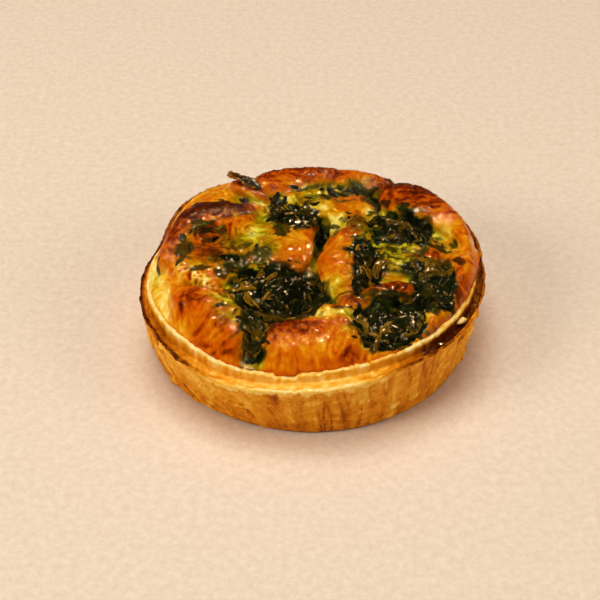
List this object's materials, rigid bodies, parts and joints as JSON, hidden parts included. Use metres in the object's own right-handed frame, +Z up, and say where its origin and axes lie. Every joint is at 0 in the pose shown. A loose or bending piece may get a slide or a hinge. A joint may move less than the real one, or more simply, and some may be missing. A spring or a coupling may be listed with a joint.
{
  "type": "spinach quiche",
  "caption": "Single-portion round quiche: flared shortcrust case with a folded rim, domed browned custard and wilted spinach in its hollows.",
  "frame": {"origin": "on the table under the middle of the quiche, at the height of the flat underside", "axes": "+Z up through the top; -Y is the side with the broken stretch of the folded rim; +X to the right of it"},
  "size_m": [0.1125, 0.1126, 0.0377],
  "materials": {
    "crust": "baked shortcrust, golden with browned edges",
    "custard": "set egg custard with a glossy browned skin",
    "spinach": "wilted spinach, wet and dark",
    "charred_leaf": "dried spinach leaf with a browned edge"
  },
  "bodies": {
    "root": {"crust": "crust", "filling": "custard", "spinach_centre": "spinach", "spinach_front": "spinach", "spinach_front_right": "spinach", "spinach_right": "spinach", "spinach_middle": "spinach", "spinach_back": "spinach", "spinach_right_back": "spinach", "leaf_curl": "charred_leaf"}
  },
  "joints": []
}
